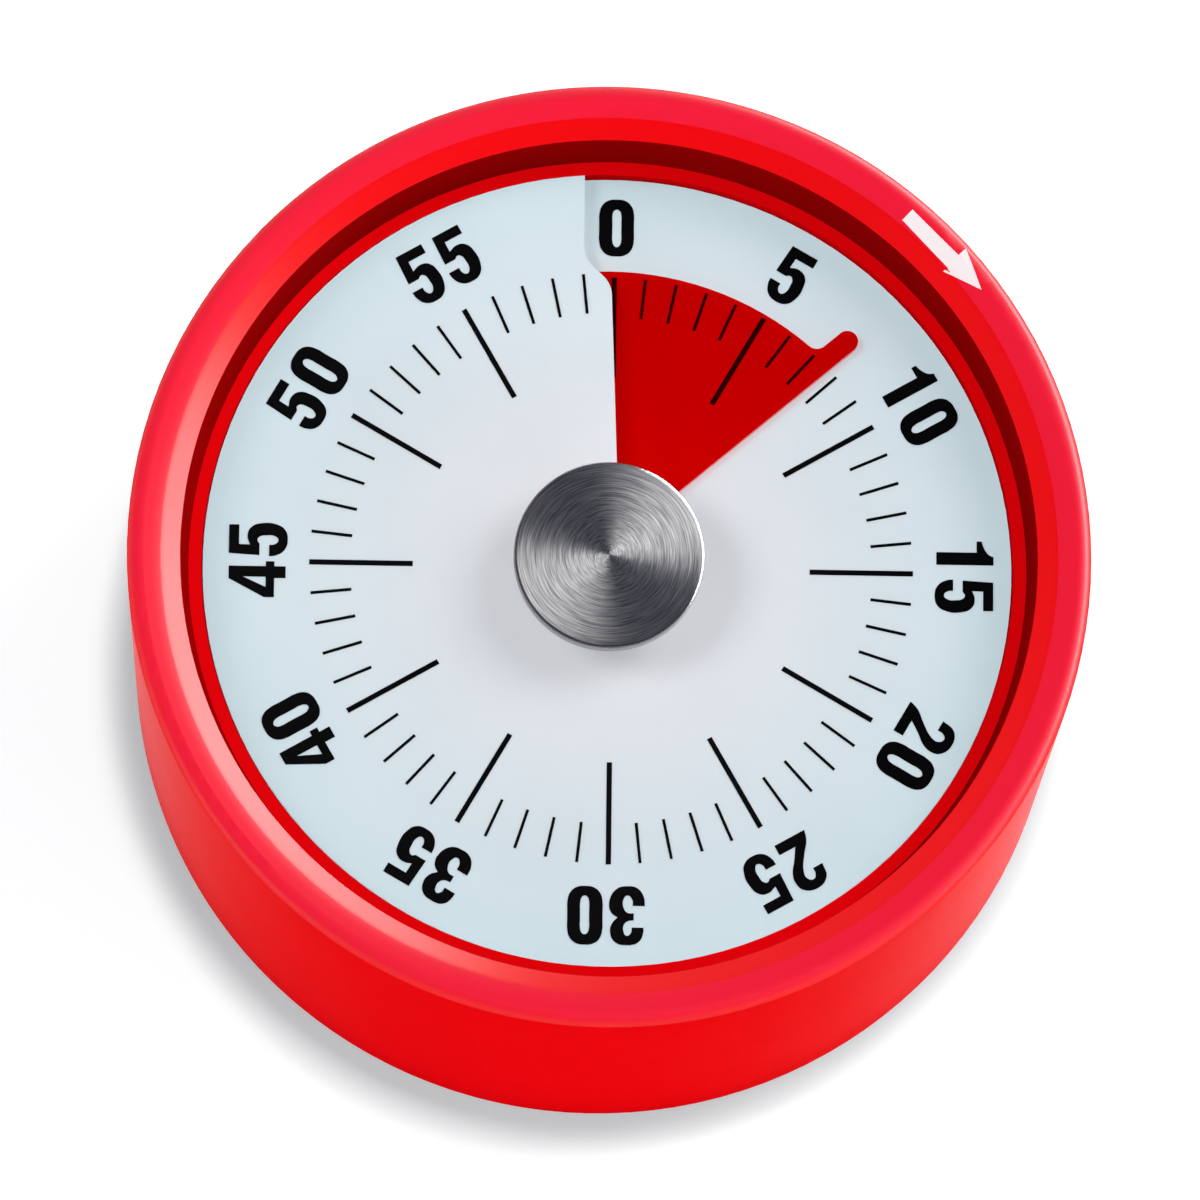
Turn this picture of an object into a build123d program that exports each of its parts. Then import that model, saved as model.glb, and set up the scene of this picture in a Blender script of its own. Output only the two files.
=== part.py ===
from build123d import *
from math import acos, atan2, cos, degrees, pi, radians, sin, sqrt, tan
import os

# A clockwork timer lying on its back. Millimetres. The origin is the middle of the back face, +Z points out of
# the dial, +Y to 12 o'clock and +X to the 15-minute side. Angles named clockwise start at 12 o'clock.

# Case
case_radius = 40.25
case_height = 44.2
case_wall = 2.25
rim_land = 2.79
rim_break_drop = 1.13
rim_slope = 1.65
lip_drop = 2.27
lip_draft = 0.61
ledge_drop = 7.1
ledge_width = 1.1
well_depth = 3.1
well_floor = 2.0
floor_hole_radius = 6.0
rim_rounding = 1.0
foot_rounding = 0.6

# Dial, flag and the thread that both follow
spiral_pitch = 1.6
dial_margin = 0.1
dial_hole_radius = 5.3
dial_sheet = 0.4
dial_drop = 8.36
glue_gap = 0.05
carrier_margin = 0.3
carrier_width = 4.5
slit_notch_x = -2.3
slit_line_x = 0.1
slit_line_slope = 0.039
slit_step_above = 2.0
slit_step_below = 2.4
slit_overshoot = 1.0
slit_overlap = 12.0
flag_margin = 3.5
flag_sheet = 0.2
flag_sweep = 350.0
flag_heading = 49.5
flag_edge_offset = 1.3
flag_setting = 46.2
tab_width = 1.8
tab_margin = 0.95
tab_fillet = 1.0
hub_radius = 4.5
hub_margin = 0.15

# Knob
knob_radius = 8.0
knob_drop = 2.36
knob_neck_radius = 5.0
knob_height = 3.1
cap_sheet = 0.5
cap_skirt = 1.2
knob_edge = 0.3

# Main arbor
arbor_radius = 2.5
arbor_shoulder_radius = 3.2
arbor_pivot_radius = 1.5
arbor_flat = 1.9
arbor_top_drop = 1.2

# Clearances
running_gap = 0.05
fit_gap = 0.02
end_shake = 0.3
cover_gap = 0.15

# Back cover with its screws and magnets
cover_thickness = 2.4
boss_radius = 3.5
boss_inset = 3.0
boss_angles = (30, 150, 270)
cover_screw_radius = 1.3
cover_screw_length = 10.0
cover_head_radius = 2.8
cover_head_height = 1.1
cover_counterbore = 1.3
magnet_radius = 6.0
magnet_thickness = 1.8
magnet_inset = 13.0
magnet_count = 4

# Screw heads, as shares of a head's radius
cross_length = 1.3
cross_width = 0.3

# Movement plates
plate_margin = 1.5
mount_inset = 2.0
mount_angles = (70, 180, 320)
mount_boss_radius = 3.0
mount_screw_radius = 1.2
mount_screw_bite = 2.3
mount_head_radius = 2.4
mount_head_height = 1.2
pillar_radius = 2.0
pillar_inset = 3.0
pillar_angles = (15, 120, 290)
pillar_tenon_radius = 1.2
pillar_screw_length = 4.0
pillar_head_radius = 2.2
pillar_head_height = 1.2
bush_radius = 4.0
bush_flange_radius = 5.0
bush_flange = 0.6
rear_bush_radius = 2.5
wheel_pivot_radius = 0.8
wheel_arbor_radius = 1.0

# Mainspring
spring_strip = 0.4
spring_turns = 7
spring_post_radius = 1.2

# Gear train
pressure_angle = 20.0
backlash = 0.12
addendum = 0.6
dedendum = 0.9
pinion_teeth = 10
great_teeth = 60
second_teeth = 50
third_teeth = 40
second_angle = 250.0
window_count = 5
great_window = 3.0
second_window = 1.9
third_window = 1.5

# Escapement
escape_teeth = 15
escape_lean = 0.2
pallet_half_angle = 30.0
pallet_radius = 0.6
anchor_hub_radius = 1.6
balance_weight_radius = 1.6
balance_width = 2.0

# Clutch, trip cam and trip lever
clutch_radius = 7.0
clutch_arms = 3
clutch_arm_width = 2.4
cam_radius = 6.0
cam_notch_depth = 1.4
cam_notch_width = 3.0
cam_gap = 0.15
trip_pivot_angle = 40.0
trip_foot_angle = 75.0
trip_foot_radius = 0.8
trip_hub_radius = 2.4
trip_arm_radius = 1.2
trip_stop_angle = 30.0
stud_radius = 1.5
stud_head_radius = 2.1
stud_head = 0.6

# Bell and hammer
bell_sheet = 1.0
bell_post_radius = 2.5
bell_flange_radius = 5.0
bell_flange = 1.2
bell_screw_radius = 1.4
bell_screw_bite = 4.0
bell_head_radius = 2.6
bell_head_height = 0.7
star_points = 6
star_lean = 0.5
star_tip_radius = 3.6
star_root_radius = 2.0
hammer_pivot_angle = 310.0
hammer_head_angle = 345.0
hammer_head_radius = 2.0
hammer_travel = 1.5
hammer_hub_radius = 2.4
hammer_arm_radius = 1.2
hammer_gap = 0.5
hammer_rivet_radius = 0.9

# Radii from the case's wall inwards
cavity_radius = case_radius - case_wall
rim_break_radius = case_radius - rim_land
lip_radius = rim_break_radius - rim_slope
ledge_radius = lip_radius - lip_draft
well_radius = ledge_radius - ledge_width
dial_radius = well_radius - dial_margin
carrier_outer_radius = well_radius - carrier_margin
carrier_inner_radius = carrier_outer_radius - carrier_width
flag_radius = carrier_inner_radius - flag_margin
tab_reach = carrier_inner_radius - tab_margin
slit_step_outer = flag_radius + slit_step_above
slit_step_inner = flag_radius - slit_step_below
boss_circle = cavity_radius - boss_inset
magnet_circle = boss_circle - magnet_inset
plate_radius = boss_circle - boss_radius - plate_margin
mount_circle = plate_radius - mount_inset
pillar_circle = plate_radius - pillar_inset

# Lengths across the movement, in sixtieths of the plates' radius
step = plate_radius / 60
great_module = step
train_module = 0.8 * step
third_circle = 38 * step
escape_circle = 42 * step
escape_tip_radius = 12 * step
escape_root_radius = 9 * step
anchor_spacing = 19.6 * step
pallet_circle = 14.4 * step
balance_half_length = 11 * step
spring_pitch = 2.6 * step
trip_pivot_circle = 37 * step
trip_stop_circle = 48 * step
bell_radius = 48 * step
hammer_pivot_circle = 24 * step
hammer_head_circle = bell_radius - bell_sheet - hammer_head_radius - hammer_travel

# Heights of the dial and the knob, from the rim down
ledge_z = case_height - ledge_drop
well_z = ledge_z - well_depth
floor_under_z = well_z - well_floor
dial_top_z = case_height - dial_drop
dial_under_z = dial_top_z - dial_sheet
dial_middle_z = dial_top_z - dial_sheet / 2
flag_edge_z = dial_middle_z + spiral_pitch * (flag_setting / 360 + 0.5)
knob_top_z = case_height - knob_drop
knob_bottom_z = knob_top_z - knob_height
arbor_top_z = knob_top_z - arbor_top_drop

# Thicknesses and heights in the movement, in 74 equal storeys from the back cover up to the case's floor
storey = (floor_under_z - cover_thickness) / 74
plate_thickness = 3 * storey
spring_width = 9.5 * storey
great_thickness = 3 * storey
train_thickness = 2 * storey
pinion_margin = storey
anchor_thickness = 2.5 * storey
balance_thickness = 2.5 * storey
cam_thickness = 3 * storey
hammer_head_height = 7 * storey
bell_shoulder = 12.5 * storey
bell_crown_z = cover_thickness + 3.5 * storey
bell_rim_z = bell_crown_z + 25 * storey
back_under_z = bell_rim_z + 3.5 * storey
star_z = back_under_z - 8 * storey
star_top_z = star_z + 3 * storey
back_top_z = back_under_z + plate_thickness
spring_z = back_top_z + 2 * storey
escape_z = back_top_z + 5.5 * storey
second_z = back_top_z + 13.5 * storey
balance_z = back_top_z + 15.5 * storey
great_z = back_top_z + 18 * storey
clutch_z = great_z + great_thickness
cam_z = clutch_z + storey
third_z = back_top_z + 23 * storey
front_under_z = back_top_z + 29 * storey
front_top_z = front_under_z + plate_thickness


def at(radius, clockwise):
    return (radius * sin(radians(clockwise)), radius * cos(radians(clockwise)))


def disc(radius, low, high, place=(0, 0)):
    solid = Cylinder(radius, high - low, align=(Align.CENTER, Align.CENTER, Align.MIN))
    return Pos(place[0], place[1], low) * solid


def prism(sketch, low, high):
    return extrude(Pos(0, 0, low) * sketch, high - low)


def turned(steps, place=(0, 0)):
    """A shaft of plain cylinders, each a radius with a lower and an upper end."""
    solid = Part()
    for radius, low, high in steps:
        solid += disc(radius, low, high, place)
    return solid


def link(places):
    """The outline of a flat lever round circles, each a radius and a place, taken in pairs."""
    outline = Sketch()
    for (radius_a, a), (radius_b, b) in zip(places, places[1:]):
        ends = Pos(*a) * Circle(radius_a) + Pos(*b) * Circle(radius_b)
        outline += make_hull(ends.edges())
    return outline


def d_prism(radius, flat, low, high):
    """A round bar with one flat, facing +Y."""
    width = 4 * radius
    keep = Pos(0, flat - width / 2, (low + high) / 2) * Box(width, width, high - low)
    return disc(radius, low, high) & keep


def spiral_sheet(inner, outer, first, sweep, z, sheet):
    """A sheet that climbs clockwise by one pitch a turn, from its first angle, at height z there."""
    rise = spiral_pitch * sweep / 360
    edges = [Edge.make_helix(spiral_pitch, rise, radius, lefthand=True) for radius in (inner, outer)]
    face = Shell.make_loft([Wire([edge]) for edge in edges], ruled=True).faces()[0]
    solid = extrude(face, sheet, dir=(0, 0, 1))
    return Pos(0, 0, z) * Rot(0, 0, 90 - first) * solid


def spacing_angle(circle_a, circle_b, spacing):
    """The angle between two places on circles round the main arbor that are so far apart."""
    return degrees(acos((circle_a**2 + circle_b**2 - spacing**2) / (2 * circle_a * circle_b)))


def pitch_radius(module, teeth):
    return module * teeth / 2


def tooth_angle(radius, base, half_at_base):
    """Half of a tooth's width at a radius, as an angle in radians."""
    roll = acos(min(1, base / radius))
    return half_at_base - (tan(roll) - roll)


def gear_outline(module, teeth, first_tooth):
    """Involute teeth with short tips. The first tooth's middle is at a clockwise angle."""
    reference = pitch_radius(module, teeth)
    base = reference * cos(radians(pressure_angle))
    tip = reference + addendum * module
    root = reference - dedendum * module
    roll = radians(pressure_angle)
    half_at_base = pi / (2 * teeth) - backlash / (4 * reference) + tan(roll) - roll
    flank = [radius for radius in (root, base, reference, tip) if radius >= root]
    points = []
    for tooth in range(teeth):
        middle = radians(90 - first_tooth) + 2 * pi * tooth / teeth
        for side, radii in ((-1, flank), (1, flank[::-1])):
            for radius in radii:
                angle = middle + side * tooth_angle(radius, base, half_at_base)
                points.append((radius * cos(angle), radius * sin(angle)))
    return make_face(Polyline(*points, close=True))


def pointed_outline(points_round, tip, root, first_tip, lean):
    """Pointed teeth. Each root lies a share of the way on from its tip."""
    step = 2 * pi / points_round
    outline = []
    for tooth in range(points_round):
        middle = radians(90 - first_tip) + step * tooth
        outline.append((tip * cos(middle), tip * sin(middle)))
        outline.append((root * cos(middle + lean * step), root * sin(middle + lean * step)))
    return make_face(Polyline(*outline, close=True))


def wheel(module, teeth, first_tooth, bore, window_radius):
    """A stamped wheel with round windows."""
    outline = gear_outline(module, teeth, first_tooth) - Circle(bore)
    middle = (pitch_radius(module, teeth) - dedendum * module + bore) / 2
    return outline - PolarLocations(middle, window_count) * Circle(window_radius)


# Where the arbors of the train stand
great_radius = pitch_radius(great_module, great_teeth)
second_circle = great_radius + pitch_radius(great_module, pinion_teeth)
train_pinion = pitch_radius(train_module, pinion_teeth)
second_radius = pitch_radius(train_module, second_teeth)
third_radius = pitch_radius(train_module, third_teeth)
third_angle = second_angle - spacing_angle(second_circle, third_circle, second_radius + train_pinion)
escape_angle = third_angle - spacing_angle(third_circle, escape_circle, third_radius + train_pinion)
anchor_angle = escape_angle - spacing_angle(escape_circle, escape_circle, anchor_spacing)
second_place = at(second_circle, second_angle)
third_place = at(third_circle, third_angle)
escape_place = at(escape_circle, escape_angle)
anchor_place = at(escape_circle, anchor_angle)
pillar_places = [at(pillar_circle, angle) for angle in pillar_angles]
mount_places = [at(mount_circle, angle) for angle in mount_angles]
boss_places = [at(boss_circle, angle) for angle in boss_angles]
trip_place = at(trip_pivot_circle, trip_pivot_angle)
hammer_place = at(hammer_pivot_circle, hammer_pivot_angle)
spring_radius = arbor_shoulder_radius + running_gap + spring_turns * spring_pitch + spring_strip
spring_post_place = (spring_radius + running_gap + spring_post_radius, 0)
magnet_places = [at(magnet_circle, (n + 0.5) * 360 / magnet_count) for n in range(magnet_count)]


def heading(start, end):
    """The clockwise angle of the way from one place to another."""
    return degrees(atan2(end[0] - start[0], end[1] - start[1]))


def case_shell():
    profile = Polyline(
        (cavity_radius, 0),
        (case_radius, 0),
        (case_radius, case_height),
        (rim_break_radius, case_height - rim_break_drop),
        (lip_radius, case_height - lip_drop),
        (ledge_radius, ledge_z),
        (well_radius, ledge_z),
        (well_radius, well_z),
        (floor_hole_radius, well_z),
        (floor_hole_radius, floor_under_z),
        (cavity_radius, floor_under_z),
        close=True,
    )
    section = make_face(profile)
    section = fillet(section.vertices().sort_by_distance((case_radius, case_height))[0], rim_rounding)
    section = fillet(section.vertices().sort_by_distance((case_radius, 0))[0], foot_rounding)
    shell = revolve(Plane.XZ * section, Axis.Z)
    room = disc(case_radius - rim_rounding, 0, case_height)
    for place in boss_places:
        shell += disc(boss_radius, cover_thickness, floor_under_z, place) & room
    for place in mount_places:
        shell += disc(mount_boss_radius, front_top_z, floor_under_z, place)
    for place in boss_places:
        shell -= disc(cover_screw_radius + fit_gap, cover_thickness, cover_screw_length + end_shake, place)
    for place in mount_places:
        shell -= disc(mount_screw_radius + fit_gap, front_top_z, front_top_z + mount_screw_bite + end_shake, place)
    return shell


def back_cover():
    cover = disc(cavity_radius - cover_gap, 0, cover_thickness)
    for place in boss_places:
        cover -= disc(cover_screw_radius + cover_gap, 0, cover_thickness, place)
        cover -= disc(cover_head_radius + cover_gap, 0, cover_counterbore, place)
    for place in magnet_places:
        cover -= disc(magnet_radius + running_gap, 0, magnet_thickness, place)
    return cover


def slit_edge(side):
    """The area beside the slit, out to one side, as wide as the sheets can overlap there."""
    outer = dial_radius + slit_overshoot
    inner = dial_hole_radius - slit_overshoot
    far = side * dial_hole_radius * 2
    foot = slit_line_x + slit_line_slope * (slit_step_inner - inner)
    lean = (slit_step_outer - slit_step_inner) / 2
    step = Bezier(
        (slit_notch_x, slit_step_outer),
        (slit_notch_x, slit_step_outer - lean),
        (slit_line_x, slit_step_inner + lean),
        (slit_line_x, slit_step_inner),
    )
    ends = Polyline(
        (slit_line_x, slit_step_inner),
        (foot, inner),
        (far, inner),
        (far, outer),
        (slit_notch_x, outer),
        (slit_notch_x, slit_step_outer),
    )
    return make_face(step.edges() + ends.edges())


def dial():
    low = dial_under_z - spiral_pitch * slit_overlap / 360
    sheet = spiral_sheet(dial_hole_radius, dial_radius, -slit_overlap, 360 + 2 * slit_overlap, low, dial_sheet)
    split_z = dial_middle_z + spiral_pitch / 2
    sheet -= prism(slit_edge(-1), split_z - spiral_pitch, split_z)
    sheet -= prism(slit_edge(1), split_z, split_z + spiral_pitch)
    return sheet


def dial_carrier():
    """A ring whose top climbs with the dial and carries its outer band."""
    depth = dial_under_z - glue_gap - well_z + spiral_pitch
    sweep = 360 - 2 * slit_overlap
    low = dial_under_z - glue_gap - depth + spiral_pitch * slit_overlap / 360
    ring = spiral_sheet(carrier_inner_radius, carrier_outer_radius, slit_overlap, sweep, low, depth)
    return ring & disc(case_radius, well_z, case_height)


def flag_outline():
    """The flag from above at rest: a disc with a tab along its straight leading edge, open ahead of that edge."""
    ahead = at(1, flag_heading)
    behind = at(1, flag_heading - 90)

    def along(distance, back):
        back += flag_edge_offset
        return (distance * ahead[0] + back * behind[0], distance * ahead[1] + back * behind[1])

    round_end = tab_width / 2
    tab_end = sqrt(tab_reach**2 - (flag_edge_offset + round_end) ** 2)
    tab = make_face(Polyline(along(0, 0), along(tab_end, 0), along(tab_end, tab_width), along(0, tab_width), close=True))
    tab += Pos(*along(tab_end, round_end)) * Circle(round_end)
    corner_reach = sqrt(flag_radius**2 - (flag_edge_offset + tab_width) ** 2)
    outline = Circle(flag_radius) + tab
    corner = outline.vertices().sort_by_distance(along(corner_reach, tab_width))[0]
    outline = fillet(corner, tab_fillet)
    far = 2 * flag_radius
    tail = flag_setting + 360 - flag_sweep
    open_ahead = make_face(Polyline(along(0, 0), along(far, 0), at(far, tail), (0, 0), close=True))
    return outline - Circle(hub_radius + fit_gap) - open_ahead


def flag():
    overlap = (360 - flag_sweep) / 2
    low = flag_edge_z - flag_sheet / 2 - spiral_pitch * flag_sweep / 360
    first = flag_setting - flag_sweep
    reach = tab_reach + tab_width
    sheet = spiral_sheet(hub_radius, reach, first, flag_sweep + overlap, low, flag_sheet)
    return sheet & prism(flag_outline(), well_z, case_height)


def flag_hub():
    low = flag_edge_z - spiral_pitch * flag_sweep / 360 - flag_sheet / 2 - hub_margin
    high = flag_edge_z + flag_sheet / 2 + hub_margin
    bore = d_prism(arbor_radius + running_gap, arbor_flat + running_gap, low, high)
    return disc(hub_radius, low, high) - bore


def knob_cap():
    outside = disc(knob_radius, knob_top_z - cap_skirt, knob_top_z)
    outside = fillet(outside.edges().group_by(Axis.Z)[-1], knob_edge)
    return outside - disc(knob_radius - cap_sheet, knob_top_z - cap_skirt, knob_top_z - cap_sheet)


def knob_core():
    """The flared plug under the cap, waisted so that fingers find an edge."""
    top = knob_top_z - cap_sheet
    shoulder = knob_top_z - cap_skirt
    waist = (knob_neck_radius + knob_radius - cap_sheet) / 2
    side = Polyline(
        (0, knob_bottom_z),
        (knob_neck_radius, knob_bottom_z),
    )
    flare = ThreePointArc(
        (knob_neck_radius, knob_bottom_z),
        (waist - cap_sheet, (knob_bottom_z + shoulder) / 2),
        (knob_radius - cap_sheet - fit_gap, shoulder),
    )
    rest = Polyline(
        (knob_radius - cap_sheet - fit_gap, shoulder),
        (knob_radius - cap_sheet - fit_gap, top),
        (0, top),
        (0, knob_bottom_z),
    )
    section = make_face(side.edges() + flare.edges() + rest.edges())
    core = revolve(Plane.XZ * section, Axis.Z)
    return core - d_prism(arbor_radius + fit_gap, arbor_flat + fit_gap, knob_bottom_z, arbor_top_z + fit_gap)


def main_arbor():
    shaft = turned(
        (
            (arbor_pivot_radius, back_under_z + fit_gap, back_top_z + end_shake),
            (arbor_shoulder_radius, back_top_z + end_shake, great_z),
            (arbor_radius, great_z, front_top_z + end_shake),
        )
    )
    return shaft + d_prism(arbor_radius, arbor_flat, front_top_z + end_shake, arbor_top_z)


def front_bush():
    bush = turned(
        (
            (bush_flange_radius, front_under_z - bush_flange, front_under_z),
            (bush_radius, front_under_z, front_top_z),
        )
    )
    return bush - disc(arbor_radius + running_gap, front_under_z - bush_flange, front_top_z)


def rear_bush():
    return disc(rear_bush_radius, back_under_z, back_top_z) - disc(
        arbor_pivot_radius + running_gap, back_under_z, back_top_z
    )


def plate(low, holes):
    """A round movement plate with its holes, each a radius and a place."""
    sheet = disc(plate_radius, low, low + plate_thickness)
    for radius, place in holes:
        sheet -= disc(radius, low, low + plate_thickness, place)
    return sheet


def front_plate():
    pivot_places = (second_place, third_place, escape_place, anchor_place)
    holes = [(bush_radius + fit_gap, (0, 0)), (stud_radius + fit_gap, trip_place)]
    holes += [(wheel_pivot_radius + running_gap, place) for place in pivot_places]
    holes += [(pillar_tenon_radius + fit_gap, place) for place in pillar_places]
    holes += [(mount_screw_radius + cover_gap, place) for place in mount_places]
    return plate(front_under_z, holes)


def back_plate():
    pivot_places = (third_place, escape_place, anchor_place)
    holes = [(rear_bush_radius + fit_gap, (0, 0)), (wheel_arbor_radius + running_gap, second_place)]
    holes += [(wheel_pivot_radius + running_gap, place) for place in pivot_places]
    holes += [(pillar_tenon_radius + cover_gap, place) for place in pillar_places]
    holes += [(stud_radius + fit_gap, hammer_place), (spring_post_radius + fit_gap, spring_post_place)]
    return plate(back_under_z, holes)


def pillars():
    pieces = []
    for place in pillar_places:
        post = disc(pillar_radius, back_top_z, front_under_z, place)
        post += disc(pillar_tenon_radius, front_under_z, front_top_z, place)
        post -= disc(pillar_tenon_radius + fit_gap, back_top_z, back_top_z + pillar_screw_length, place)
        pieces.append(post)
    return Compound(pieces)


def screws(places, shank, length, head, head_height, seat):
    """Pan heads under a seat, with the shanks pointing up and a cross in each head."""
    pieces = []
    slot = head_height / 2
    for place in places:
        screw = disc(head, seat - head_height, seat, place)
        screw += disc(shank, seat, seat + length, place)
        for turn in (0, 90):
            bar = Rot(0, 0, turn) * Box(cross_length * head, cross_width * head, slot)
            screw -= Pos(place[0], place[1], seat - head_height + slot / 2) * bar
        pieces.append(screw)
    return Compound(pieces)


def magnets():
    return Compound([disc(magnet_radius, fit_gap, magnet_thickness, place) for place in magnet_places])


def mainspring():
    """A flat coil of half circles, each wider than the last by half a pitch."""
    inner = arbor_shoulder_radius + running_gap
    growth = spring_pitch / 2

    def side(offset):
        ends = []
        for half in range(2 * spring_turns + 1):
            ends.append((-1) ** half * (inner + offset + half * growth))
        arcs = []
        for half, (start, end) in enumerate(zip(ends, ends[1:])):
            bulge = (-1) ** half * abs(end - start) / 2
            arcs.append(ThreePointArc((start, 0), ((start + end) / 2, bulge), (end, 0)))
        return arcs, ends

    inside, inside_ends = side(0)
    outside, outside_ends = side(spring_strip)
    caps = [
        Line((inside_ends[0], 0), (outside_ends[0], 0)),
        Line((inside_ends[-1], 0), (outside_ends[-1], 0)),
    ]
    face = make_face([curve.edge() for curve in inside + outside + caps])
    return prism(face, spring_z, spring_z + spring_width)


def spring_post():
    return disc(spring_post_radius, back_under_z, spring_z + spring_width, spring_post_place)


def great_wheel():
    outline = wheel(great_module, great_teeth, second_angle, arbor_radius + fit_gap, great_window)
    return prism(outline, great_z, clutch_z)


def clutch_spring():
    outline = Circle(arbor_shoulder_radius + clutch_arm_width / 2)
    for arm in range(clutch_arms):
        turn = 360 * arm / clutch_arms
        outline += Rot(0, 0, turn) * Pos(clutch_radius / 2, 0) * Rectangle(clutch_radius, clutch_arm_width)
    return prism(outline - Circle(arbor_radius + fit_gap), clutch_z, cam_z)


def trip_cam():
    """A disc with one notch, which the trip lever's foot meets at zero."""
    notch = trip_foot_angle + flag_setting
    cut = Pos(*at(cam_radius, notch)) * Rot(0, 0, -notch) * Rectangle(cam_notch_width, 2 * cam_notch_depth)
    return prism(Circle(cam_radius) - Circle(arbor_radius + fit_gap) - cut, cam_z, cam_z + cam_thickness)


def wheel_arbor(place, pinion, pinion_low, pinion_high, low_end):
    """An arbor between the plates with its pinion, thinner where it runs in them."""
    shaft = turned(
        (
            (wheel_pivot_radius, back_under_z, back_top_z + end_shake),
            (wheel_arbor_radius, low_end, front_under_z - end_shake),
            (wheel_pivot_radius, front_under_z - end_shake, front_top_z),
        ),
        place,
    )
    return shaft + Pos(place[0], place[1], 0) * prism(pinion, pinion_low, pinion_high)


def toothed_pinion(module, facing):
    """A pinion with the gap between two teeth facing a clockwise angle."""
    return gear_outline(module, pinion_teeth, facing + 180 / pinion_teeth)


def second_arbor():
    pinion = toothed_pinion(great_module, second_angle + 180)
    low = great_z - pinion_margin
    return wheel_arbor(second_place, pinion, low, clutch_z + pinion_margin, star_z)


def train_wheel(teeth, facing, place, low, window_radius):
    outline = wheel(train_module, teeth, facing, wheel_arbor_radius + fit_gap, window_radius)
    return Pos(place[0], place[1], 0) * prism(outline, low, low + train_thickness)


def second_wheel():
    return train_wheel(second_teeth, heading(second_place, third_place), second_place, second_z, second_window)


def strike_star():
    outline = pointed_outline(star_points, star_tip_radius, star_root_radius, second_angle, star_lean)
    outline -= Circle(wheel_arbor_radius + fit_gap)
    return Pos(second_place[0], second_place[1], 0) * prism(outline, star_z, star_top_z)


def third_arbor():
    pinion = toothed_pinion(train_module, heading(third_place, second_place))
    high = second_z + train_thickness + pinion_margin
    return wheel_arbor(third_place, pinion, second_z - pinion_margin, high, back_top_z + end_shake)


def third_wheel():
    return train_wheel(third_teeth, heading(third_place, escape_place), third_place, third_z, third_window)


def escape_arbor():
    pinion = toothed_pinion(train_module, heading(escape_place, third_place))
    high = third_z + train_thickness + pinion_margin
    return wheel_arbor(escape_place, pinion, third_z - pinion_margin, high, back_top_z + end_shake)


def escape_wheel():
    outline = pointed_outline(escape_teeth, escape_tip_radius, escape_root_radius, escape_angle, escape_lean)
    outline -= Circle(wheel_arbor_radius + fit_gap)
    return Pos(escape_place[0], escape_place[1], 0) * prism(outline, escape_z, escape_z + train_thickness)


def anchor_arbor():
    return turned(
        (
            (wheel_pivot_radius, back_under_z, back_top_z + end_shake),
            (wheel_arbor_radius, back_top_z + end_shake, front_under_z - end_shake),
            (wheel_pivot_radius, front_under_z - end_shake, front_top_z),
        ),
        anchor_place,
    )


def anchor():
    """Two arms from the arbor to the pallets on either side of the escape wheel."""
    toward = heading(escape_place, anchor_place)
    arms = Sketch()
    for side in (-1, 1):
        reach = at(pallet_circle, toward + side * pallet_half_angle)
        pallet = (escape_place[0] + reach[0], escape_place[1] + reach[1])
        arms += link(((anchor_hub_radius, anchor_place), (pallet_radius, pallet)))
    arms -= Pos(*anchor_place) * Circle(wheel_arbor_radius + fit_gap)
    low = escape_z + (train_thickness - anchor_thickness) / 2
    return prism(arms, low, low + anchor_thickness)


def balance_bar():
    """A bar across the anchor's arbor with a weight at each end."""
    along = heading(escape_place, anchor_place)
    bar = Rectangle(balance_width, 2 * balance_half_length)
    bar += Circle(anchor_hub_radius)
    for side in (-1, 1):
        bar += Pos(0, side * balance_half_length) * Circle(balance_weight_radius)
    bar -= Circle(wheel_arbor_radius + fit_gap)
    solid = Rot(0, 0, -along) * prism(bar, balance_z, balance_z + balance_thickness)
    return Pos(anchor_place[0], anchor_place[1], 0) * solid


def trip_post():
    low = cam_z - stud_head - end_shake
    return turned(
        (
            (stud_head_radius, low, low + stud_head),
            (stud_radius, low + stud_head, front_top_z),
        ),
        trip_place,
    )


def trip_lever():
    foot = at(cam_radius + cam_gap + trip_foot_radius, trip_foot_angle)
    stop = at(trip_stop_circle, trip_stop_angle)
    outline = link(((trip_foot_radius, foot), (trip_hub_radius, trip_place), (trip_arm_radius, stop)))
    outline -= Pos(*trip_place) * Circle(stud_radius + running_gap)
    return prism(outline, cam_z, cam_z + cam_thickness)


def bell():
    """A pressed cup with a rounded shoulder, open towards the movement."""
    cup = disc(bell_radius, bell_crown_z, bell_rim_z)
    cup = fillet(cup.edges().group_by(Axis.Z)[0], bell_shoulder)
    hollow = disc(bell_radius - bell_sheet, bell_crown_z + bell_sheet, bell_rim_z)
    hollow = fillet(hollow.edges().group_by(Axis.Z)[0], bell_shoulder - bell_sheet)
    return cup - hollow - disc(bell_screw_radius + cover_gap, bell_crown_z, bell_crown_z + bell_sheet)


def bell_post():
    seat = bell_crown_z + bell_sheet
    post = turned(
        (
            (bell_flange_radius, back_under_z - bell_flange, back_under_z),
            (bell_post_radius, seat, back_under_z - bell_flange),
        )
    )
    return post - disc(bell_screw_radius + fit_gap, seat, seat + bell_screw_bite + end_shake)


def hammer():
    """A flat lever with one arm to the head and a tail that stops short of the star."""
    head = at(hammer_head_circle, hammer_head_angle)
    reach = (Vector(*second_place) - Vector(*hammer_place)).length
    reach -= star_tip_radius + hammer_gap + hammer_arm_radius
    way = at(reach, heading(hammer_place, second_place))
    tail = (hammer_place[0] + way[0], hammer_place[1] + way[1])
    outline = link(((hammer_head_radius, head), (hammer_hub_radius, hammer_place), (hammer_arm_radius, tail)))
    outline -= Pos(*hammer_place) * Circle(stud_radius + running_gap)
    outline -= Pos(*head) * Circle(hammer_rivet_radius + fit_gap)
    return prism(outline, star_z, star_top_z)


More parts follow.
